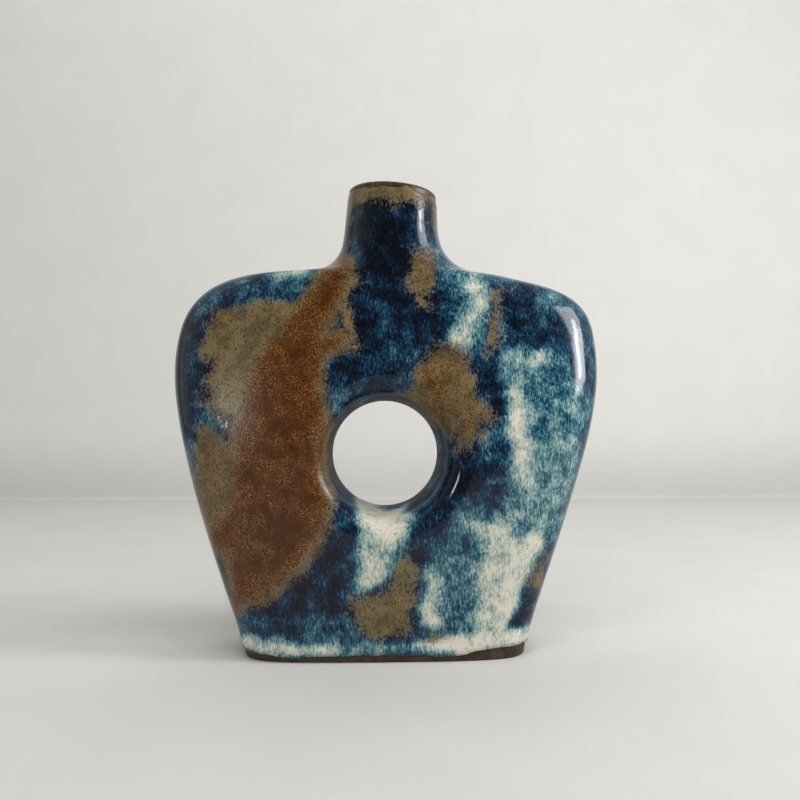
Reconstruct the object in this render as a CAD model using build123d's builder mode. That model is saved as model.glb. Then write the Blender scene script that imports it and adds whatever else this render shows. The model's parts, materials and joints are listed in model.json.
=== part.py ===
# Hand-built stoneware pillow vase with a round eye through the body.
# Millimetres, +Z up, front of the vase towards -Y, origin on the table under the foot.
import os
from math import atan2, cos, pi, sin
from build123d import *

os.makedirs("parts", exist_ok=True)

# Body, half widths on the left and right of the centre line
total_height = 193.0
left_belly = 89.5
right_belly = 89.5
belly_drop = 79.0
belly_depth = 62.0

# Foot
base_width = 116.0
base_offset = -1.0
base_depth = 52.0
foot_height = 9.0
foot_round = 1.2

# Shoulders: drop from the rim to the shoulder line at the side and at the neck, and the neck curve
left_shoulder_drop = 35.3
right_shoulder_drop = 43.0
left_root_drop = 36.9
right_root_drop = 34.3
left_root_reach = 22.0
right_root_reach = 22.0
left_root_rise = 16.0
right_root_rise = 19.0

# Neck, which leans a little to the right
neck_radius = 21.2
neck_offset = 0.6
rim_radius = 19.2
rim_offset = 2.1
rim_drop = 2.6
lip_wall = 4.7
neck_joint_drop = 30.0

# Eye through the body
eye_radius = 23.5
eye_offset = -1.0
eye_drop = 33.5
eye_round = 9.5

# Clay and glaze
wall = 5.5
tunnel_wall = 5.5
slab_thickness = 6.0
glaze = 0.8
glaze_line_height = 3.4
glaze_stop = 1.8
overrun = 20.0

# Shares that shape the curves
left_flank_share = 0.53
right_flank_share = 0.40
flank_height_share = 0.35
belly_share = 0.83
left_shoulder_share = 0.72
right_shoulder_share = 0.87
neck_curve_share = 0.70
round_share = 0.5523
body_flat_share = 0.86
body_edge_share = 0.72
base_flat_share = 0.97
base_edge_share = 0.92
deepest_share = 0.42
neck_share = 0.88
lip_round_share = 0.45
glaze_wave_shares = (0.10, -0.35, 0.25, -0.20, 0.45, -0.30, 0.35, 0.05, -0.10)

# Numbers of sections
body_section_count = 14
neck_section_count = 11

# Mouth, and heights above the table, which are counted down from the rim
mouth_radius = rim_radius - lip_wall
belly_height = total_height - belly_drop
eye_height = belly_height - eye_drop
neck_joint_height = total_height - neck_joint_drop


def between(start, end, share):
    return start + (end - start) * share


# One side of the vase as half width against height: the body from the foot up, then the neck
def side_outline(base_x, flank_share, belly, shoulder, fullness, root, reach, rise, rim):
    foot = Vector(base_x, 0)
    foot_top = Vector(base_x, foot_height)
    flank_x = between(base_x, belly, flank_share)
    flank = Vector(flank_x, belly_height * flank_height_share)
    side = Vector(belly, belly_height)
    corner = Vector(belly, shoulder)
    shoulder_end = root + (corner - root).normalized() * reach
    neck_start = root + (rim - root).normalized() * rise
    with BuildLine() as body_line:
        Bezier(foot, foot_top, flank, (belly, belly_height * belly_share), side)
        side_handle = between(side, corner, fullness)
        shoulder_handle = between(shoulder_end, corner, fullness)
        Bezier(side, side_handle, shoulder_handle, shoulder_end)
    with BuildLine() as neck_line:
        root_handle = between(shoulder_end, root, neck_curve_share)
        neck_handle = between(neck_start, root, neck_curve_share)
        Bezier(shoulder_end, root_handle, neck_handle, neck_start)
        Line(neck_start, rim)
    return body_line.wire(), neck_line.wire()


left_body, left_neck = side_outline(
    base_width / 2 - base_offset,
    left_flank_share,
    left_belly,
    total_height - left_shoulder_drop,
    left_shoulder_share,
    Vector(neck_radius - neck_offset, total_height - left_root_drop),
    left_root_reach,
    left_root_rise,
    Vector(rim_radius - rim_offset, total_height),
)
right_body, right_neck = side_outline(
    base_width / 2 + base_offset,
    right_flank_share,
    right_belly,
    total_height - right_shoulder_drop,
    right_shoulder_share,
    Vector(neck_radius + neck_offset, total_height - right_root_drop),
    right_root_reach,
    right_root_rise,
    Vector(rim_radius + rim_offset, total_height - rim_drop),
)


# Point of an outline, moved into the body along its normal
def inset_point(line, share, inset):
    run = line.tangent_at(share)
    return line.position_at(share) - Vector(run.Y, -run.X) * inset


# 0 on the body, 1 on the neck, with a smooth change over the shoulders
def neck_blend(height):
    start = total_height * deepest_share
    end = total_height * neck_share
    share = min(max((height - start) / (end - start), 0), 1)
    return (1 - cos(pi * share)) / 2


def half_depth(height):
    rise = sin(pi / 2 * min(height / (total_height * deepest_share), 1))
    body_depth = between(base_depth, belly_depth, rise) / 2
    neck_rise = max(height - neck_joint_height, 0) / (total_height - neck_joint_height)
    neck_depth = between(neck_radius, rim_radius, neck_rise)
    return between(body_depth, neck_depth, neck_blend(height))


# Plane through a left and a right point of the two outlines
def section_plane(left, right):
    tilt = atan2(right.Y - left.Y, right.X + left.X)
    middle = Vector((right.X - left.X) / 2, 0, (right.Y + left.Y) / 2)
    return Plane(middle, x_dir=(cos(tilt), 0, sin(tilt)), z_dir=(-sin(tilt), 0, cos(tilt)))


# Closed section of four equal curves, square on the body and round on the neck
def section(left, right, inset):
    plane = section_plane(left, right)
    height = plane.origin.Z
    half_x = Vector(right.X + left.X, right.Y - left.Y).length / 2
    half_y = half_depth(height) - inset
    body_share = min(height / belly_height, 1)
    flat_share = between(base_flat_share, body_flat_share, body_share)
    edge_share = between(base_edge_share, body_edge_share, body_share)
    flat_x = half_x * between(flat_share, round_share, neck_blend(height))
    edge_y = half_y * between(edge_share, round_share, neck_blend(height))
    with BuildSketch(plane) as outline:
        with BuildLine():
            Bezier((0, half_y), (-flat_x, half_y), (-half_x, edge_y), (-half_x, 0))
            Bezier((-half_x, 0), (-half_x, -edge_y), (-flat_x, -half_y), (0, -half_y))
            Bezier((0, -half_y), (flat_x, -half_y), (half_x, -edge_y), (half_x, 0))
            Bezier((half_x, 0), (half_x, edge_y), (flat_x, half_y), (0, half_y))
        make_face()
    return outline.sketch


def sections(left_line, right_line, count, inset):
    found = []
    for number in range(count):
        share = number / (count - 1)
        left = inset_point(left_line, share, inset)
        right = inset_point(right_line, share, inset)
        found.append(section(left, right, inset))
    return found


# Whole vase as one solid, moved in from the glazed surface
def solid_form(inset):
    with BuildPart() as form:
        loft(sections=sections(left_body, right_body, body_section_count, inset))
        loft(sections=sections(left_neck, right_neck, neck_section_count, inset))
    return form.part


# The same with the eye cut through it and its two mouths rounded
def pierced_form(inset):
    with BuildPart() as form:
        add(solid_form(inset))
        with BuildSketch(Plane.XZ):
            with Locations((eye_offset, eye_height)):
                Circle(eye_radius + inset)
        extrude(amount=belly_depth, both=True, mode=Mode.SUBTRACT)
        eye_face = form.faces().filter_by(GeomType.CYLINDER)
        fillet(eye_face.edges().filter_by(GeomType.LINE, reverse=True), radius=eye_round - inset)
    return form.part


glazed_form = pierced_form(0)
clay_form = pierced_form(glaze)
slab_top = Plane.XY.offset(slab_thickness)
neck_joint = Plane.XY.offset(neck_joint_height)
rim_plane = section_plane(left_neck @ 1, right_neck @ 1)
ring_radius = eye_radius + glaze + tunnel_wall

with BuildPart() as hollow_body:
    add(clay_form)
    add(solid_form(glaze + wall), mode=Mode.SUBTRACT)
    with BuildSketch(Plane.XZ):
        with Locations((eye_offset, eye_height)):
            Circle(ring_radius)
    extrude(amount=belly_depth, both=True, mode=Mode.SUBTRACT)
    split(bisect_by=slab_top, keep=Keep.TOP)
    split(bisect_by=neck_joint, keep=Keep.BOTTOM)

with BuildPart() as front_wall:
    add(hollow_body.part)
    split(bisect_by=Plane.XZ, keep=Keep.TOP)

with BuildPart() as rear_wall:
    add(hollow_body.part)
    split(bisect_by=Plane.XZ, keep=Keep.BOTTOM)

with BuildPart() as tunnel_ring:
    add(clay_form)
    with BuildSketch(Plane.XZ):
        with Locations((eye_offset, eye_height)):
            Circle(ring_radius)
    extrude(amount=belly_depth, both=True, mode=Mode.INTERSECT)

with BuildPart() as neck_collar:
    add(clay_form)
    split(bisect_by=neck_joint, keep=Keep.TOP)
    with BuildSketch(neck_joint):
        with Locations((rim_offset, 0)):
            Circle(mouth_radius)
    extrude(amount=total_height, mode=Mode.SUBTRACT)
    lip = neck_collar.faces().sort_by(Axis.Z)[-1]
    fillet(lip.edges(), radius=(lip_wall - glaze) * lip_round_share)

with BuildPart() as base_slab:
    add(clay_form)
    split(bisect_by=slab_top, keep=Keep.BOTTOM)
    sole = base_slab.faces().sort_by(Axis.Z)[0]
    fillet(sole.edges(), radius=foot_round)

# Glaze runs down to a wavy line above the foot and stops short of the lip
wave_width = base_width + 2 * overrun
wave_steps = len(glaze_wave_shares) - 1
wave_points = []
for number, wave_share in enumerate(glaze_wave_shares):
    wave_x = between(-wave_width / 2, wave_width / 2, number / wave_steps)
    wave_points.append((wave_x, glaze_line_height * (1 + wave_share)))

with BuildPart() as glaze_coat:
    add(glazed_form)
    add(clay_form, mode=Mode.SUBTRACT)
    with BuildSketch(Plane.XZ):
        with BuildLine():
            wave = Spline(*wave_points)
            Polyline(wave @ 1, (wave_width / 2, -overrun), (-wave_width / 2, -overrun), wave @ 0)
        make_face()
    extrude(amount=belly_depth, both=True, mode=Mode.SUBTRACT)
    with BuildSketch(rim_plane.offset(-glaze_stop)):
        Circle(neck_radius + overrun)
    extrude(amount=overrun, mode=Mode.SUBTRACT)

front_wall.part.label = "front wall"
rear_wall.part.label = "rear wall"
tunnel_ring.part.label = "tunnel ring"
neck_collar.part.label = "neck collar"
base_slab.part.label = "base slab"
glaze_coat.part.label = "glaze coat"

export_step(front_wall.part, "parts/front_wall.step")
export_step(rear_wall.part, "parts/rear_wall.step")
export_step(tunnel_ring.part, "parts/tunnel_ring.step")
export_step(neck_collar.part, "parts/neck_collar.step")
export_step(base_slab.part, "parts/base_slab.step")
export_step(glaze_coat.part, "parts/glaze_coat.step")
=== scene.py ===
import json
from math import exp, radians

import bpy
import numpy as np
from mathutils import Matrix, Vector, noise

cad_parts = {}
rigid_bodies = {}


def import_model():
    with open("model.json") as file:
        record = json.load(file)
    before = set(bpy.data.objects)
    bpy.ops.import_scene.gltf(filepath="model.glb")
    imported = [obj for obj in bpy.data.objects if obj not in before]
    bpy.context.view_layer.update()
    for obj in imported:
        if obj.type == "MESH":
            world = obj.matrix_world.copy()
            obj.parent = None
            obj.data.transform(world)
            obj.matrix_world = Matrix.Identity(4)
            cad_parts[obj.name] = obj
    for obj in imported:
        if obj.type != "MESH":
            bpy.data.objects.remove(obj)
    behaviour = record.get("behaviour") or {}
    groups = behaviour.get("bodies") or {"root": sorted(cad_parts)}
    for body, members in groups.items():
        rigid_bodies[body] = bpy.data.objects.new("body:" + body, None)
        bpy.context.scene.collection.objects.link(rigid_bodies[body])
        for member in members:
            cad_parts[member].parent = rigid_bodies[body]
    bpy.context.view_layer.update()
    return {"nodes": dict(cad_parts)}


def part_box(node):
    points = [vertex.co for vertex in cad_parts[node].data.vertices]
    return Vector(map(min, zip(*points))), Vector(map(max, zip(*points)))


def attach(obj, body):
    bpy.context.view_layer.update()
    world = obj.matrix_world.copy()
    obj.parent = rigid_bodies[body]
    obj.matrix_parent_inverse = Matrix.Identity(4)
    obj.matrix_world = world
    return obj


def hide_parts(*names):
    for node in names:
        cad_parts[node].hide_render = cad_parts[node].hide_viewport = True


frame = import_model()
nodes = frame["nodes"]
mm = 0.001
weldGap = 0.01 * mm
noise.seed_set(7)  # noise vectors are the same in each run
print("frame loaded:", sorted(nodes))


# small helpers for modelling by hand

def deselectAll():
    if bpy.context.object and bpy.context.object.mode != "OBJECT":
        bpy.ops.object.mode_set(mode="OBJECT")
    bpy.ops.object.select_all(action="DESELECT")


def useOnly(piece):
    deselectAll()
    piece.select_set(True)
    bpy.context.view_layer.objects.active = piece


def copyOfNode(node, name):  # a merged copy of a CAD mesh, as a start for a new piece
    piece = bpy.data.objects.new(name, nodes[node].data.copy())
    bpy.context.scene.collection.objects.link(piece)
    piece.data.materials.clear()
    useOnly(piece)
    bpy.ops.object.mode_set(mode="EDIT")
    bpy.ops.mesh.select_all(action="SELECT")
    bpy.ops.mesh.remove_doubles(threshold=weldGap)
    bpy.ops.object.mode_set(mode="OBJECT")
    return piece


def pick(piece, kind, test):  # leaves edit mode on, with whatever passes the test selected
    mesh = piece.data
    bpy.ops.object.mode_set(mode="EDIT")
    bpy.ops.mesh.select_mode(type=kind)
    bpy.ops.mesh.select_all(action="DESELECT")
    bpy.ops.object.mode_set(mode="OBJECT")
    choices = {"FACE": mesh.polygons, "EDGE": mesh.edges, "VERT": mesh.vertices}
    for item in choices[kind]:
        item.select = test(item)
    bpy.ops.object.mode_set(mode="EDIT")


def addModifier(piece, kind, **settings):
    useOnly(piece)
    modifier = piece.modifiers.new(kind.lower(), kind)
    for name, value in settings.items():
        setattr(modifier, name, value)
    bpy.ops.object.modifier_apply(modifier=modifier.name)


def openEdgeVertices(piece):
    uses = {}
    for face in piece.data.polygons:
        for key in face.edge_keys:
            uses[key] = uses.get(key, 0) + 1
    return sorted({v for key, count in uses.items() if count == 1 for v in key})


def srgb(red, green, blue):  # 0 to 255 as seen, to the linear values that shaders use
    def linear(c):
        c = c / 255
        return c / 12.92 if c <= 0.04045 else ((c + 0.055) / 1.055) ** 2.4
    return (linear(red), linear(green), linear(blue), 1.0)


# shader maths as Python expressions

class Wire:
    def __init__(self, graph, socket):
        self.graph = graph
        self.socket = socket

    def maths(self, operation, *others):
        return self.graph.add("ShaderNodeMath", {"operation": operation}, *others)["Value"]

    def __add__(self, other):
        return self.maths("ADD", self, other)

    def __radd__(self, other):
        return self.maths("ADD", other, self)

    def __sub__(self, other):
        return self.maths("SUBTRACT", self, other)

    def __rsub__(self, other):
        return self.maths("SUBTRACT", other, self)

    def __mul__(self, other):
        return self.maths("MULTIPLY", self, other)

    def __rmul__(self, other):
        return self.maths("MULTIPLY", other, self)

    def high(self, other):
        return self.maths("MAXIMUM", self, other)

    def step(self, start, end):  # smooth 0 to 1 between two values
        settings = {"interpolation_type": "SMOOTHSTEP"}
        return self.graph.add("ShaderNodeMapRange", settings, self, start, end, 0.0, 1.0)["Result"]


class Graph:
    def __init__(self, tree):
        self.tree = tree
        tree.nodes.clear()

    def add(self, kind, settings=None, *values, **named):
        node = self.tree.nodes.new(kind)
        for name, value in (settings or {}).items():
            if name == "stops":
                self.setStops(node.color_ramp, value)
            else:
                setattr(node, name, value)
        inputs = [s for s in node.inputs if s.enabled]
        pairs = list(zip(inputs, values))
        pairs += [(node.inputs[name.replace("_", " ")], value) for name, value in named.items()]
        for socket, value in pairs:
            if isinstance(value, Wire):
                self.tree.links.new(value.socket, socket)
            else:
                socket.default_value = value
        return {s.name: Wire(self, s) for s in node.outputs if s.enabled}

    def setStops(self, ramp, stops):
        while len(ramp.elements) < len(stops):
            ramp.elements.new(1.0)
        for element, (place, colour) in zip(ramp.elements, stops):
            element.position = place
            element.color = colour

    def noise(self, place, scale, detail=2.0, roughness=0.5):
        return self.add("ShaderNodeTexNoise", {"noise_dimensions": "3D"}, Vector=place,
                        Scale=scale, Detail=detail, Roughness=roughness)["Fac"]

    def cells(self, place, scale):
        return self.add("ShaderNodeTexVoronoi", {"feature": "F1"}, Vector=place, Scale=scale)

    def vectors(self, operation, first, second):
        return self.add("ShaderNodeVectorMath", {"operation": operation}, first, second)["Vector"]

    def stretch(self, place, x, y, z):
        return self.vectors("MULTIPLY", place, (x, y, z))

    def mix(self, share, first, second):
        return self.add("ShaderNodeMix", {"data_type": "RGBA"}, share, first, second)["Result"]

    def field(self, name):
        return self.add("ShaderNodeAttribute", {"attribute_name": name})["Fac"]

    def millimetres(self):
        place = self.add("ShaderNodeTexCoord")["Object"]
        return self.stretch(place, 1000.0, 1000.0, 1000.0)

    def heightOf(self, place):
        return self.add("ShaderNodeSeparateXYZ", None, place)["Z"]

    def bump(self, height, strength, depth):  # depth in mm
        return self.add("ShaderNodeBump", None, Strength=strength, Distance=depth * mm,
                        Height=height)["Normal"]

    def finish(self, colour, roughness, **others):
        shader = self.add("ShaderNodeBsdfPrincipled", None, Base_Color=colour, Roughness=roughness, **others)
        self.add("ShaderNodeOutputMaterial", None, Surface=shader["BSDF"])


def newMaterial(name):
    material = bpy.data.materials.new(name)
    material.use_nodes = True
    return material, Graph(material.node_tree)


# glaze skin: outer face of the CAD coat, remeshed, smoothed and given its bead at the foot

glazeSkin = {
    "voxel": 1.55 * mm,
    "smoothRounds": 7,
    "thickness": 0.8 * mm,
    "undersideHeight": 8 * mm,    # the coat's own lower edge lies below this
    "rimZone": 6 * mm,            # and its upper edge this near to its top
    "downFacing": -0.5,           # normals of those edges, and of the lid that is trimmed off
    "upFacing": 0.9,
    "lidFacing": 0.55,
    "footZone": 10 * mm,          # open edges below this belong to the foot, others to the lip
    "skirtDrop": 3 * mm,          # the outer face is drawn down by this and levelled at the next
    "skirtHeight": 0.4 * mm,
    "handWobble": 0.55 * mm,      # how far the hand marks dip into the surface
    "wobbleSpan": 34 * mm,
    "closeSpan": 0.36,            # span of the small marks, as a share of the broad ones
    "meanMark": 0.5,              # shares of the wobble
    "broadMark": 0.42,
    "closeMark": 0.12,
    "beadSwell": 0.75 * mm,       # rolled edge where the glaze stopped running
    "beadHeight": 1.9 * mm,
    "beadSpread": 1.25,
    "beadReach": 9 * mm,
    "lipGap": 1.1 * mm,           # bare clay left under the rim
    "lipTaper": 3.2 * mm,
    "lipThin": 0.45 * mm,
    "eyeWaist": 1.4 * mm,         # glaze pooled round the middle of the eye
    "eyeHalfLength": 19 * mm,
    "eyeFlare": 1.35,
    "eyeReach": 27 * mm,
}
glazeFoot = {
    "line": [  # x and height of the glaze edge in front, mm
        (-62, 4.2), (-50, 3.2), (-37, 2.1), (-24, 2.9), (-8, 3.3), (4, 3.4),
        (15, 2.8), (26, 2.3), (34, 4.2), (45, 5.4), (60, 6.0),
    ],
    "backTurn": -0.83,            # the back has the same line, turned round and drawn out
    "sideBlend": 36 * mm,         # the two lines meet gently along the sides
    "ripple": 0.45 * mm,
    "rippleScale": 160,
}
rimTilt = {"left": 17.1 * mm, "fall": 2.6, "width": 38.4}  # the rim falls to the right

footAcross = [x * mm for x, height in glazeFoot["line"]]
footHeights = [height * mm for x, height in glazeFoot["line"]]
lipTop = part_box("neck_collar")[1].z
ringLow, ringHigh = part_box("tunnel_ring")
coatLow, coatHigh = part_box("glaze_coat")
eyeX = (ringLow.x + ringHigh.x) / 2
eyeZ = (ringLow.z + ringHigh.z) / 2
rimStart = coatHigh.z - glazeSkin["rimZone"]


def footEdge(x, y):  # height at which the glaze stops
    front = np.interp(x, footAcross, footHeights)
    back = np.interp(x * glazeFoot["backTurn"], footAcross, footHeights)
    share = min(max(0.5 + y / glazeFoot["sideBlend"], 0), 1)
    share = share * share * (3 - 2 * share)
    scale = glazeFoot["rippleScale"]
    ripple = glazeFoot["ripple"] * noise.noise((x * scale, y * scale, 0.7))
    return float(front + (back - front) * share) + ripple


def lipLine(x):  # height of the tilted rim over x
    return lipTop - (x + rimTilt["left"]) * rimTilt["fall"] / rimTilt["width"]


def outerFace(opts):  # the coat's outer face alone, closed at both ends and remeshed evenly
    def isCutEdge(face):
        under = face.normal.z < opts["downFacing"] and face.center.z < opts["undersideHeight"]
        return under or (face.normal.z > opts["upFacing"] and face.center.z > rimStart)

    skin = copyOfNode("glaze_coat", "glazeSkin")
    pick(skin, "FACE", isCutEdge)
    bpy.ops.mesh.delete(type="FACE")
    bpy.ops.object.mode_set(mode="OBJECT")
    widest = max(skin.data.vertices, key=lambda v: v.co.x).index
    pick(skin, "VERT", lambda v: v.index == widest)
    bpy.ops.mesh.select_linked()
    bpy.ops.mesh.select_all(action="INVERT")
    bpy.ops.mesh.delete(type="VERT")  # the inner face goes
    bpy.ops.object.mode_set(mode="OBJECT")
    edge = {i for i in openEdgeVertices(skin) if skin.data.vertices[i].co.z < opts["footZone"]}
    pick(skin, "EDGE", lambda line: all(i in edge for i in line.vertices))
    bpy.ops.mesh.extrude_region_move(TRANSFORM_OT_translate={"value": (0, 0, -opts["skirtDrop"])})
    bpy.ops.transform.resize(value=(1, 1, 0), center_override=(0, 0, opts["skirtHeight"]))
    bpy.ops.mesh.select_all(action="SELECT")
    bpy.ops.mesh.fill_holes(sides=0)
    bpy.ops.mesh.normals_make_consistent(inside=False)
    addModifier(skin, "REMESH", mode="VOXEL", voxel_size=opts["voxel"])
    addModifier(skin, "SMOOTH", factor=0.5, iterations=opts["smoothRounds"])
    return skin


def addHandMarks(mesh, opts):  # always inwards, so the skin stays inside the CAD coat
    normals = [v.normal.copy() for v in mesh.vertices]
    for v, normal in zip(mesh.vertices, normals):
        broad = noise.noise(v.co / opts["wobbleSpan"] + Vector((3.1, 0.4, 7.7)))
        close = noise.noise(v.co / (opts["wobbleSpan"] * opts["closeSpan"]) + Vector((9.2, 5.0, 1.3)))
        dip = opts["meanMark"] + opts["broadMark"] * broad + opts["closeMark"] * close
        v.co -= normal * opts["handWobble"] * dip


def trimEnds(skin, opts):  # back to the foot line and the lip, with the open edges settled on them
    def isWaste(face):
        place = face.center
        lid = face.normal.z > opts["lidFacing"] and place.z > rimStart
        return lid or place.z < footEdge(place.x, place.y)

    mesh = skin.data
    pick(skin, "FACE", isWaste)
    bpy.ops.mesh.delete(type="FACE")
    bpy.ops.mesh.select_mode(type="VERT")
    bpy.ops.mesh.select_all(action="SELECT")
    bpy.ops.mesh.delete_loose()
    bpy.ops.object.mode_set(mode="OBJECT")
    for i in openEdgeVertices(skin):
        v = mesh.vertices[i]
        if v.co.z < opts["footZone"]:
            v.co.z = footEdge(v.co.x, v.co.y)
        else:
            v.co.z = lipLine(v.co.x) - opts["lipGap"]
    mesh.update()


def shapeEnds(mesh, opts):  # bead at the foot, thin edge under the lip, waist in the eye
    flare = opts["eyeFlare"]
    normals = [v.normal.copy() for v in mesh.vertices]
    for v, normal in zip(mesh.vertices, normals):
        above = v.co.z - footEdge(v.co.x, v.co.y)
        if above < opts["beadReach"]:
            spread = opts["beadSpread"] * opts["beadHeight"]
            swell = exp(-((above - opts["beadHeight"]) / spread) ** 2)
            v.co += normal * opts["beadSwell"] * swell
        under = lipLine(v.co.x) - opts["lipGap"] - v.co.z
        if under < opts["lipTaper"]:
            share = 1 - max(under, 0) / opts["lipTaper"]
            v.co -= normal * opts["lipThin"] * share * share
        fromEye = Vector((v.co.x - eyeX, 0, v.co.z - eyeZ))
        along = abs(v.co.y) / opts["eyeHalfLength"]
        if fromEye.length < opts["eyeReach"] and along < flare:  # narrow waist, flared towards both mouths
            opening = flare * along * along if along < 1 else 1 + (flare - along)
            v.co += fromEye.normalized() * opts["eyeWaist"] * (opening - 1)
    mesh.update()


def makeGlazeSkin(opts):
    skin = outerFace(opts)
    mesh = skin.data
    addHandMarks(mesh, opts)
    trimEnds(skin, opts)
    shapeEnds(mesh, opts)
    addModifier(skin, "SOLIDIFY", thickness=opts["thickness"], offset=-1.0)
    for v in mesh.vertices:  # never past the CAD coat's own box
        v.co.x = min(max(v.co.x, coatLow.x), coatHigh.x)
        v.co.y = min(max(v.co.y, coatLow.y), coatHigh.y)
    useOnly(skin)
    bpy.ops.object.shade_smooth()
    print("glaze skin:", len(mesh.polygons), "faces")
    return skin


# where the glazes were poured: strokes of x, z and half width in mm, seen from the front

rustPours = [
    [(-20, 157, 3.5), (-25, 144, 5.5), (-33, 132, 7), (-38, 120, 11), (-41, 106, 14.5), (-42, 91, 17),
     (-43, 75, 17.5), (-43, 60, 19), (-48, 48, 16.5), (-51, 38, 11), (-55, 30, 6.5), (-59, 23, 2.5)],
    [(-28, 124, 4), (-20, 126, 2.4)],
    [(14, 113, 1.0), (19, 108, 3.6), (21, 98, 1.6)],
    [(-68, 49, 4.5), (-58, 50, 8)],
]
rustFreckles = [  # olive sprinkled with rust, never solid
    [(23, 116, 4), (20, 105, 8), (28, 97, 4)],
    [(13.8, 158, 0.8), (13.4, 151, 0.4)],
    [(-71, 86, 3), (-66, 72, 7), (-66, 56, 5)],
]
olivePours = [
    [(-70, 124, 5), (-62, 130, 11), (-48, 134, 8), (-38, 137, 5)],
    [(-60, 126, 13), (-58, 117, 14), (-63, 105, 10)],
    [(-72, 82, 6), (-66, 71, 9), (-68, 58, 7)],
    [(-15, 152, 1.6), (-19, 142, 2.0), (-15, 132, 1.2), (-13, 124, 0.6)],
    [(13.8, 159, 3.8), (13.4, 151, 4), (14.5, 141, 0.2)],
    [(24, 117, 8), (22, 105, 12.5), (29, 97, 8.5), (36, 96, 4.5)],
    [(29, 97, 8), (31, 84, 3)],
    [(22, 104, 8), (11, 104, 4)],
    [(41, 133, 1.8), (40, 122, 0.6)],
    [(42, 134, 1.0), (45.5, 147, 0.8)],
    [(-9, 21, 5.5), (3, 23, 6), (6, 35, 3.2), (8, 45, 0.2)],
    [(-8, 14, 4), (3, 14, 4)],
    [(-4, 18, 7.5), (1, 18, 7.5)],
    [(62, 41, 0.8), (58, 31, 2.4)],
    [(16, 10, 1.5), (21, 10, 0.5)],
    [(-17, 186, 3), (-19, 170, 1)],
    [(19, 186, 2.5), (20, 176, 0.6)],
]
# milkiness of the blue glaze, painted in this order: value, soft edge, stroke
milkPours = [
    (0.10, 9, [(0, 186, 14), (-2, 165, 13), (-4, 142, 14), (-8, 130, 8)]),
    (0.12, 7, [(16, 140, 7), (14, 124, 7)]),
    (0.36, 11, [(2, 132, 5), (0, 117, 7)]),
    (0.18, 7, [(-15, 112, 7), (0, 107, 5)]),
    (0.42, 5, [(-66, 146, 4), (-48, 148, 5), (-30, 151, 4)]),
    (0.88, 3, [(-43, 154, 2), (-34, 155, 1.8)]),
    (0.12, 6, [(-86, 130, 6), (-84, 110, 7), (-80, 92, 5)]),
    (0.05, 3, [(-66, 41, 3.4), (-64, 31, 2.6)]),
    (0.15, 8, [(-42, 20, 9), (-28, 30, 10), (-18, 48, 7), (-16, 60, 4)]),
    (0.50, 7, [(26, 152, 5), (36, 150, 6)]),
    (0.90, 4, [(34, 149, 4), (38, 144, 4.5), (33, 137, 2.8), (28, 127, 3.6)]),
    (0.06, 4, [(52, 146, 4), (51, 138, 4)]),
    (0.24, 7, [(47, 142, 5), (58, 137, 6), (68, 130, 5)]),
    (0.30, 7, [(72, 136, 5), (78, 118, 5)]),
    (0.80, 6, [(51, 119, 4), (60, 118, 4), (66, 117, 3)]),
    (0.48, 8, [(63, 108, 6), (72, 104, 6)]),
    (0.60, 5, [(70, 100, 1.5), (68, 84, 2)]),
    (0.66, 7, [(77, 104, 4), (70, 78, 4)]),
    (0.10, 4, [(42, 108, 3), (43, 96, 3.5), (45, 86, 3)]),
    (0.73, 7, [(50, 110, 3.5), (51, 96, 5), (53, 80, 6.5), (56, 68, 7), (54, 56, 7)]),
    (0.95, 5, [(50, 104, 1.5), (51, 92, 3), (53, 76, 2.5)]),
    (0.58, 9, [(63, 92, 5), (65, 72, 6), (62, 54, 7)]),
    (0.15, 9, [(27, 78, 6), (30, 66, 8)]),
    (0.16, 8, [(11, 58, 4), (16, 50, 6), (24, 58, 6)]),
    (0.60, 9, [(34, 54, 8), (46, 48, 9)]),
    (0.88, 8, [(42, 46, 8), (44, 32, 11), (42, 16, 10)]),
    (0.45, 6, [(28, 46, 5), (34, 42, 3)]),
    (0.97, 3, [(57, 47, 4), (51, 35, 4.5), (47, 24, 5)]),
    (0.20, 3, [(58, 27, 4), (52, 15, 5)]),
    (0.50, 6, [(25, 42, 4), (27, 22, 4.5)]),
    (0.14, 3, [(12, 44, 2.2), (12.5, 22, 2.2)]),
    (0.93, 4, [(17, 34, 3.4), (16.5, 18, 4.2)]),
    (0.98, 3.5, [(-3, 61, 11), (-3, 50, 9), (-6, 39, 6.5), (-9, 33, 4)]),
    (0.62, 5, [(-7, 50, 2), (-4, 42, 3)]),
    (0.90, 3, [(-60, 6, 3), (-40, 5, 3.5), (-22, 5, 2.5)]),
    (0.60, 2.5, [(-20, 5, 2.5), (10, 5, 2.5)]),
    (0.98, 3, [(14, 6, 2.5), (34, 7, 4.5), (60, 9, 4)]),
]
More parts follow.
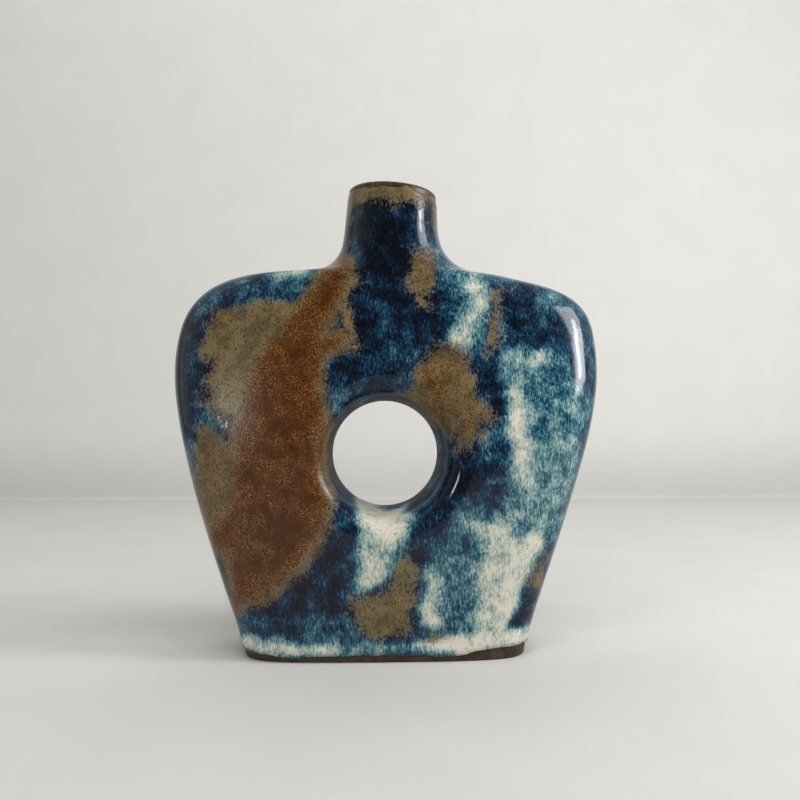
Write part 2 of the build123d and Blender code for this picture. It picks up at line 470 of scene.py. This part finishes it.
# the unseen back, in the same manner
rustPoursBack = [
    [(24, 156, 3), (31, 142, 6), (40, 124, 10), (44, 104, 13), (42, 86, 11), (46, 68, 8), (54, 52, 4)],
    [(-58, 66, 3), (-50, 52, 7), (-46, 38, 8), (-50, 24, 3)],
]
olivePoursBack = [
    [(60, 138, 6), (54, 124, 9), (60, 104, 7), (58, 84, 5)],
    [(20, 146, 2), (24, 128, 3), (26, 112, 4)],
    [(-62, 74, 4), (-56, 60, 7), (-50, 44, 11), (-46, 28, 6)],
    [(-28, 132, 4), (-22, 118, 6), (-30, 104, 3)],
    [(10, 40, 1), (14, 30, 4), (12, 16, 6)],
    [(-68, 124, 3), (-60, 132, 6)],
    [(-14, 160, 3), (-16, 148, 1)],
]
milkPoursBack = [
    (0.10, 9, [(0, 186, 14), (2, 160, 12), (0, 136, 12)]),
    (0.16, 8, [(12, 118, 8), (-10, 112, 6)]),
    (0.58, 9, [(-66, 140, 6), (-74, 116, 7), (-68, 88, 6)]),
    (0.14, 7, [(-82, 120, 5), (-78, 92, 5)]),
    (0.92, 6, [(-42, 124, 3), (-45, 104, 5), (-50, 88, 5), (-47, 76, 3)]),
    (0.66, 7, [(-34, 90, 4), (-36, 66, 5)]),
    (0.84, 6, [(74, 118, 3), (72, 94, 5), (66, 70, 5), (60, 44, 5), (58, 24, 4)]),
    (0.12, 7, [(0, 54, 8), (-16, 40, 8), (-24, 24, 6)]),
    (0.94, 4, [(-8, 58, 5), (-4, 46, 6), (0, 32, 4), (-2, 20, 3)]),
    (0.52, 8, [(30, 46, 7), (36, 22, 8)]),
    (0.90, 5, [(26, 40, 2), (28, 20, 4)]),
    (0.95, 2.5, [(-60, 6, 2.5), (-20, 5, 2), (20, 5, 3), (60, 7, 3)]),
]
pourHand = {  # mm, apart from the milkiness
    "drift": 2.2,             # how far the edges of the pours wander
    "driftSpan": 11.0,
    "ripple": 1.0,
    "rippleSpan": 4.5,
    "sideStart": 2,           # past the middle of the sides a stroke fades out
    "groundMilk": 0.34,       # milkiness where nothing was poured
    "blotchMilk": 0.22,
    "blotchSpan": 17.0,
    "freckleDepth": -0.8,
    "lipBand": 183.5,         # worn band under the lip starts at this height
    "tunnelEdge": 26.5,       # distance from the eye's axis
    "tunnelBlend": 2.5,
    "farOutside": -30.0,
}


def strokeDepth(x, z, behind, points):  # mm inside the stroke, negative outside
    best = None
    for (ax, az, ar), (bx, bz, br) in zip(points, points[1:]):
        runX = bx - ax
        runZ = bz - az
        share = np.clip(((x - ax) * runX + (z - az) * runZ) / (runX * runX + runZ * runZ), 0, 1)
        gap = np.sqrt((x - ax - share * runX) ** 2 + (z - az - share * runZ) ** 2 + behind ** 2)
        depth = ar + (br - ar) * share - gap
        best = depth if best is None else np.maximum(best, depth)
    return best


def pourField(x, z, behind, pours):
    best = np.full_like(x, pourHand["farOutside"])
    for points in pours:
        best = np.maximum(best, strokeDepth(x, z, behind, points))
    return best


def milkField(x, z, behind, pours, ground):
    milk = np.array(ground)
    for value, soft, points in pours:
        share = np.clip(0.5 + strokeDepth(x, z, behind, points) / (2 * soft), 0, 1)
        share = share * share * (3 - 2 * share)
        milk += (value - milk) * share
    return milk


def paintFields(skin, opts):
    mesh = skin.data
    count = len(mesh.vertices)
    places = np.empty(count * 3)
    mesh.vertices.foreach_get("co", places)
    places = places.reshape(-1, 3) / mm
    drift = np.array([noise.noise_vector(Vector(p) / opts["driftSpan"]) for p in places])
    shift = Vector((4.0, 1.0, 2.0))
    ripple = np.array([noise.noise_vector(Vector(p) / opts["rippleSpan"] + shift) for p in places])
    wander = opts["drift"] * drift + opts["ripple"] * ripple
    x, z = (places + wander)[:, [0, 2]].T
    front = np.maximum(places[:, 1] - opts["sideStart"], 0)
    back = np.maximum(-opts["sideStart"] - places[:, 1], 0)
    rust = np.maximum(pourField(x, z, front, rustPours), pourField(x, z, back, rustPoursBack))
    rust = np.maximum(rust, np.minimum(pourField(x, z, front, rustFreckles), opts["freckleDepth"]))
    olive = np.maximum(pourField(x, z, front, olivePours), pourField(x, z, back, olivePoursBack))
    olive = np.maximum(olive, z - opts["lipBand"])
    blotch = np.array([noise.noise(Vector(p) / opts["blotchSpan"]) for p in places])
    milk = milkField(x, z, front, milkPours, opts["groundMilk"] + opts["blotchMilk"] * blotch)
    milk = milkField(x, z, back, milkPoursBack, milk)
    fromEye = np.hypot(places[:, 0] - eyeX / mm, places[:, 2] - eyeZ / mm)
    tunnel = np.clip((opts["tunnelEdge"] - fromEye) / opts["tunnelBlend"], 0, 1)
    for name, values in (("rust", rust), ("olive", olive), ("milk", milk), ("tunnel", tunnel)):
        layer = mesh.attributes.new(name, "FLOAT", "POINT")
        layer.data.foreach_set("value", values.astype(np.float32))
    print("glaze fields painted on", count, "points")


reactiveGlaze = {
    "blueStops": [
        (0.00, srgb(3, 6, 14)),
        (0.17, srgb(8, 21, 40)),
        (0.34, srgb(17, 52, 80)),
        (0.49, srgb(46, 96, 114)),
        (0.64, srgb(104, 143, 145)),
        (0.80, srgb(164, 179, 169)),
        (1.00, srgb(218, 213, 199)),
    ],
    "olive": srgb(122, 106, 72),
    "oliveDark": srgb(88, 80, 54),
    "rust": srgb(76, 36, 5),
    "rustTan": srgb(140, 100, 54),
    "speck": srgb(40, 26, 14),
    "swirl": 5.0,             # mm that the flow is pushed about
    "swirlScale": 0.05,       # scales are per mm
    "coarseScale": 0.16,
    "fleckScale": 1.35,
    "streakScale": 1.5,
    "grainScale": 1.35,
    "dustScale": 2.1,
    "pinScale": 0.62,
    "pinSize": 0.25,
    "pitScale": 0.21,
    "pitSize": 0.085,
    "fleckStir": 0.95,        # how far each noise stirs the milkiness
    "streakStir": 0.75,
    "coarseStir": 0.9,
    "rustGrain": 20.0,        # how far each noise frays the edge of a pour, mm
    "rustFleck": 7.0,
    "oliveGrain": 13.0,
    "oliveFleck": 15.0,
    "oliveCoarse": 12.0,
    "haloGrain": 12.0,
    "haloFleck": 6.0,
    "halo": 3.0,              # olive round the rust, mm
    "rustEdge": 1.6,          # half widths of the soft edges, mm
    "oliveEdge": 1.8,
    "gloss": 0.09,            # roughness of the blue, and what is added to it
    "ironDull": 0.06,
    "fleckDull": 0.08,
    "tunnelDull": 0.55,
    "specular": 0.32,
    "bumpStrength": 0.8,
    "bumpDepth": 0.25,
}


def makeGlazeMaterial(opts):
    material, g = newMaterial("reactiveGlaze")
    place = g.millimetres()
    swirl = g.add("ShaderNodeTexNoise", None, Vector=place, Scale=opts["swirlScale"], Detail=1.0)["Color"]
    swirl = g.vectors("SUBTRACT", swirl, (0.5, 0.5, 0.5))
    flow = g.vectors("ADD", place, g.stretch(swirl, opts["swirl"], opts["swirl"], opts["swirl"]))
    coarse = g.noise(flow, opts["coarseScale"], 3.0)
    fleck = g.noise(g.stretch(flow, 1.0, 1.0, 0.55), opts["fleckScale"], 4.0, 0.66)
    streak = g.noise(g.stretch(flow, 1.0, 1.0, 0.18), opts["streakScale"], 3.0, 0.58)
    grain = g.noise(place, opts["grainScale"], 3.0, 0.64)
    dust = g.noise(place, opts["dustScale"], 3.0, 0.64)
    rustField = g.field("rust")

    # blue glaze, from near black where it is thin to cream where it ran thick
    stir = (fleck - 0.5) * opts["fleckStir"] + (streak - 0.5) * opts["streakStir"]
    milk = g.field("milk") + stir + (coarse - 0.5) * opts["coarseStir"]
    blue = g.add("ShaderNodeValToRGB", {"stops": opts["blueStops"]}, milk)["Color"]
    pits = g.cells(place, opts["pitScale"])
    pit = (opts["pitSize"] - pits["Distance"]).step(0.0, 0.03) * pits["Color"].step(0.45, 0.55)
    blue = g.mix(pit * 0.9, blue, opts["speck"])

    # iron-bearing glaze: olive where thin, rust where thick, grainy edges
    rustDepth = rustField + (grain - 0.5) * opts["rustGrain"] + (fleck - 0.5) * opts["rustFleck"]
    oliveDepth = g.field("olive") + (grain - 0.5) * opts["oliveGrain"] + (fleck - 0.5) * opts["oliveFleck"]
    oliveDepth = oliveDepth + (coarse - 0.5) * opts["oliveCoarse"]
    halo = rustField + opts["halo"] + (grain - 0.5) * opts["haloGrain"] + (fleck - 0.5) * opts["haloFleck"]
    rustMask = rustDepth.step(-opts["rustEdge"], opts["rustEdge"])
    oliveMask = oliveDepth.high(halo).step(-opts["oliveEdge"], opts["oliveEdge"])
    olive = g.mix((coarse + fleck - 1.0).step(-0.16, 0.14), opts["oliveDark"], opts["olive"])
    olive = g.mix(grain.step(0.55, 0.62) * 0.75, olive, opts["rust"])
    thin = 1.0 - rustField.step(-2.0, 9.0)
    tan = dust.step(0.49, 0.60) * ((coarse - 0.36) * 2.6 + thin * 0.55).step(-0.1, 0.9)
    rust = g.mix(tan, opts["rust"], opts["rustTan"])
    rust = g.mix((0.46 - dust).step(0.0, 0.08) * 0.75, rust, opts["speck"])
    iron = g.mix(rustMask, olive, rust)
    pins = g.cells(place, opts["pinScale"])
    pin = (opts["pinSize"] - pins["Distance"]).step(0.0, 0.06) * pins["Color"].step(0.35, 0.45)
    iron = g.mix(pin * 0.85, iron, opts["speck"])

    colour = g.mix(oliveMask, blue, iron)
    roughness = opts["gloss"] + oliveMask * opts["ironDull"] + (fleck - 0.5) * opts["fleckDull"]
    roughness = roughness + g.field("tunnel") * opts["tunnelDull"]
    height = fleck * 0.06 + grain * oliveMask * 0.6 + coarse * 0.16
    normal = g.bump(height, opts["bumpStrength"], opts["bumpDepth"])
    g.finish(colour, roughness, Normal=normal, Specular_IOR_Level=opts["specular"])
    return material


firedClay = {
    "dark": srgb(48, 33, 26),
    "light": srgb(82, 62, 50),
    "grit": srgb(28, 19, 15),
    "patchScale": 0.25,
    "gritScale": 1.6,
}


def makeClayMaterial(opts):
    material, g = newMaterial("firedClay")
    place = g.millimetres()
    patch = g.noise(place, opts["patchScale"], 3.0)
    grit = g.noise(place, opts["gritScale"], 3.0, 0.65)
    colour = g.mix((patch + grit * 0.6).step(0.6, 1.0), opts["dark"], opts["light"])
    colour = g.mix(grit.step(0.60, 0.70), colour, opts["grit"])
    g.finish(colour, 0.62 + patch * 0.25, Normal=g.bump(grit + patch * 0.6, 0.6, 0.25))
    return material


wornLip = {
    "brown": srgb(38, 23, 12),
    "amber": srgb(88, 64, 36),
    "inside": srgb(34, 27, 23),
    "insideTop": 186.0,       # mm, where the dark inside starts to turn into the lip
    "lipBottom": 190.0,
    "patchScale": 0.5,
    "grainScale": 1.8,
}


def makeLipMaterial(opts):
    material, g = newMaterial("wornLip")
    place = g.millimetres()
    patch = g.noise(place, opts["patchScale"], 3.0, 0.6)
    grain = g.noise(place, opts["grainScale"], 2.0)
    colour = g.mix((patch + grain - 1.0).step(-0.1, 0.2), opts["brown"], opts["amber"])
    raggedHeight = g.heightOf(place) + patch * 4.0
    colour = g.mix(raggedHeight.step(opts["insideTop"], opts["lipBottom"]), opts["inside"], colour)
    g.finish(colour, 0.28 + patch * 0.2, Normal=g.bump(grain + patch, 0.35, 0.15))
    return material


skin = makeGlazeSkin(glazeSkin)
paintFields(skin, pourHand)
skin.data.materials.append(makeGlazeMaterial(reactiveGlaze))
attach(skin, "root")
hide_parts("glaze_coat")

clay = makeClayMaterial(firedClay)
lip = makeLipMaterial(wornLip)
for name, node in nodes.items():
    if name != "glaze_coat":
        node.data.materials.clear()
        node.data.materials.append(lip if name == "neck_collar" else clay)
print("materials set")


# floor and backdrop in one sheet

studio = {
    "front": -0.9,
    "wall": 0.60,
    "halfWidth": 1.6,
    "wallHeight": 1.5,
    "cove": 0.006,
    "floorColour": srgb(206, 205, 202),
    "wallColour": srgb(234, 233, 230),
    "blendHeight": 90.0,      # mm over which the floor's colour turns into the wall's
}


def makeStudio(opts):
    near = 0.01

    def isBackLine(line):
        return all(sheet.data.vertices[i].co.y > opts["wall"] - near for i in line.vertices)

    def isCorner(line):
        return isBackLine(line) and all(sheet.data.vertices[i].co.z < near for i in line.vertices)

    deselectAll()
    bpy.ops.mesh.primitive_plane_add(size=1.0)
    sheet = bpy.context.object
    sheet.name = "studioSheet"
    bpy.ops.object.mode_set(mode="EDIT")
    bpy.ops.mesh.select_all(action="SELECT")
    bpy.ops.transform.resize(value=(2 * opts["halfWidth"], opts["wall"] - opts["front"], 1))
    bpy.ops.transform.translate(value=(0, (opts["wall"] + opts["front"]) / 2, 0))
    pick(sheet, "EDGE", isBackLine)
    bpy.ops.mesh.extrude_region_move(TRANSFORM_OT_translate={"value": (0, 0, opts["wallHeight"])})
    pick(sheet, "EDGE", isCorner)
    bpy.ops.mesh.bevel(offset=opts["cove"], segments=12)
    bpy.ops.object.mode_set(mode="OBJECT")
    bpy.ops.object.shade_smooth()
    material, g = newMaterial("palePaper")
    place = g.millimetres()
    tone = g.noise(place, 0.02, 2.0) * 0.3 + g.heightOf(place).step(0.0, opts["blendHeight"]) * 0.7
    g.finish(g.mix(tone, opts["floorColour"], opts["wallColour"]), 0.85)
    sheet.data.materials.append(material)


makeStudio(studio)
print("studio set")

lamps = [
    # name, place, size across and up, watts, colour, aimed at
    ("windowLow", (0.80, -0.18, 0.37), (0.25, 0.20), 2.2, (0.94, 0.98, 1.0), (0, 0, 0.11)),
    ("windowHigh", (0.80, -0.18, 0.61), (0.36, 0.22), 2.0, (1.0, 0.96, 0.94), (0, 0, 0.11)),
    ("windowGap", (0.78, -0.20, 0.42), (0.07, 0.22), 0.9, (1.0, 1.0, 1.0), (0, 0, 0.11)),
    ("ceiling", (0.15, -0.70, 1.20), (1.5, 1.1), 11.5, (1.0, 0.99, 0.97), (0, 0, 0.1)),
    ("ceilingBack", (-0.10, 0.40, 1.15), (1.2, 0.3), 2.6, (1.0, 0.99, 0.97), (0, 0.1, 0.0)),
    ("frontLeft", (-0.58, -0.69, 0.27), (0.13, 0.18), 1.4, (1.0, 0.98, 0.95), (-0.05, 0, 0.1)),
]
for name, place, size, watts, colour, aim in lamps:
    data = bpy.data.lights.new(name, "AREA")
    data.shape = "RECTANGLE"
    data.size, data.size_y = size
    data.energy = watts
    data.color = colour
    lamp = bpy.data.objects.new(name, data)
    lamp.location = place
    lamp.visible_glossy = "ceiling" not in name  # the soft top lights leave no outline in the gloss
    lamp.rotation_euler = (Vector(aim) - Vector(place)).to_track_quat("-Z", "Y").to_euler()
    bpy.context.scene.collection.objects.link(lamp)

paleRoom = {
    "air": srgb(222, 221, 218),
    "light": 0.14,            # strength as light, and what is added where it is seen
    "seen": 0.76,
    "frontGloss": 0.08,       # the room in front is dim in the gloss
    "dimUntil": -0.85,
    "fullFrom": 0.25,
}
world = bpy.data.worlds.new("paleRoom")
bpy.context.scene.world = world
world.use_nodes = True
room = Graph(world.node_tree)
rays = room.add("ShaderNodeLightPath")
way = room.add("ShaderNodeSeparateXYZ", None, room.add("ShaderNodeTexCoord")["Generated"])
behind = way["Y"].step(paleRoom["dimUntil"], paleRoom["fullFrom"])
gloss = rays["Is Glossy Ray"] * (paleRoom["frontGloss"] + behind * (1 - paleRoom["frontGloss"]))
seen = rays["Is Camera Ray"].high(rays["Is Transmission Ray"]).high(gloss)
strength = paleRoom["light"] + seen * paleRoom["seen"]
air = room.add("ShaderNodeBackground", None, paleRoom["air"], strength)["Background"]
room.add("ShaderNodeOutputWorld", None, Surface=air)
print("lamps and room set")

view = {
    "place": (-6.67 * mm, -339.97 * mm, 95.6 * mm),
    "turn": 2.0,              # degrees to the right
    "tip": 1.289,             # degrees up
    "lens": 36.0,
    "sensor": 36.0,
    "nearest": 0.01,
}
cameraData = bpy.data.cameras.new("photoView")
cameraData.lens = view["lens"]
cameraData.sensor_width = view["sensor"]
cameraData.clip_start = view["nearest"]
camera = bpy.data.objects.new("photoView", cameraData)
camera.location = view["place"]
camera.rotation_euler = (radians(90 + view["tip"]), 0, radians(-view["turn"]))
bpy.context.scene.collection.objects.link(camera)
bpy.context.scene.camera = camera
bpy.context.scene.view_settings.view_transform = "Standard"
